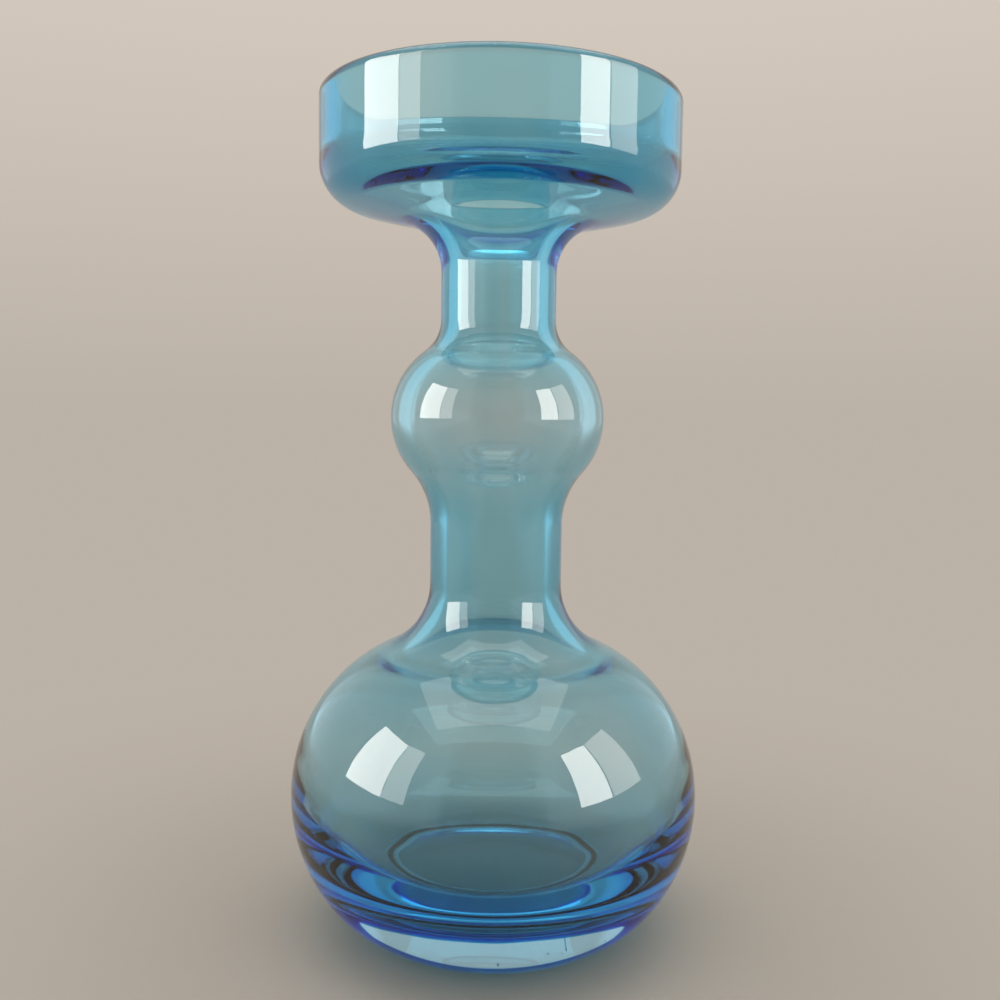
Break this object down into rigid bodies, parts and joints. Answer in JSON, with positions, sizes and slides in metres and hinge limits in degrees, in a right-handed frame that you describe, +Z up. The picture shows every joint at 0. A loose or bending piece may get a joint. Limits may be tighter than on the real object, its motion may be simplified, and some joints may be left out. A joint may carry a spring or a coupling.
{
  "type": "hyacinth forcing vase",
  "caption": "Clear glass vase with a blue inner layer: a wide cup that seats a bulb, a waisted neck with a small round swelling, and a squat body that holds the water.",
  "frame": {"origin": "middle of the foot ring, on the surface that the vase stands on", "axes": "+Z up along the axis that the vase is turned about, towards the mouth of the cup"},
  "size_m": [0.1, 0.1, 0.201],
  "materials": {
    "clear_glass": "polished",
    "blue_glass": "polished"
  },
  "bodies": {
    "root": {"clear_casing": "clear_glass", "blue_lining": "blue_glass"}
  },
  "joints": []
}
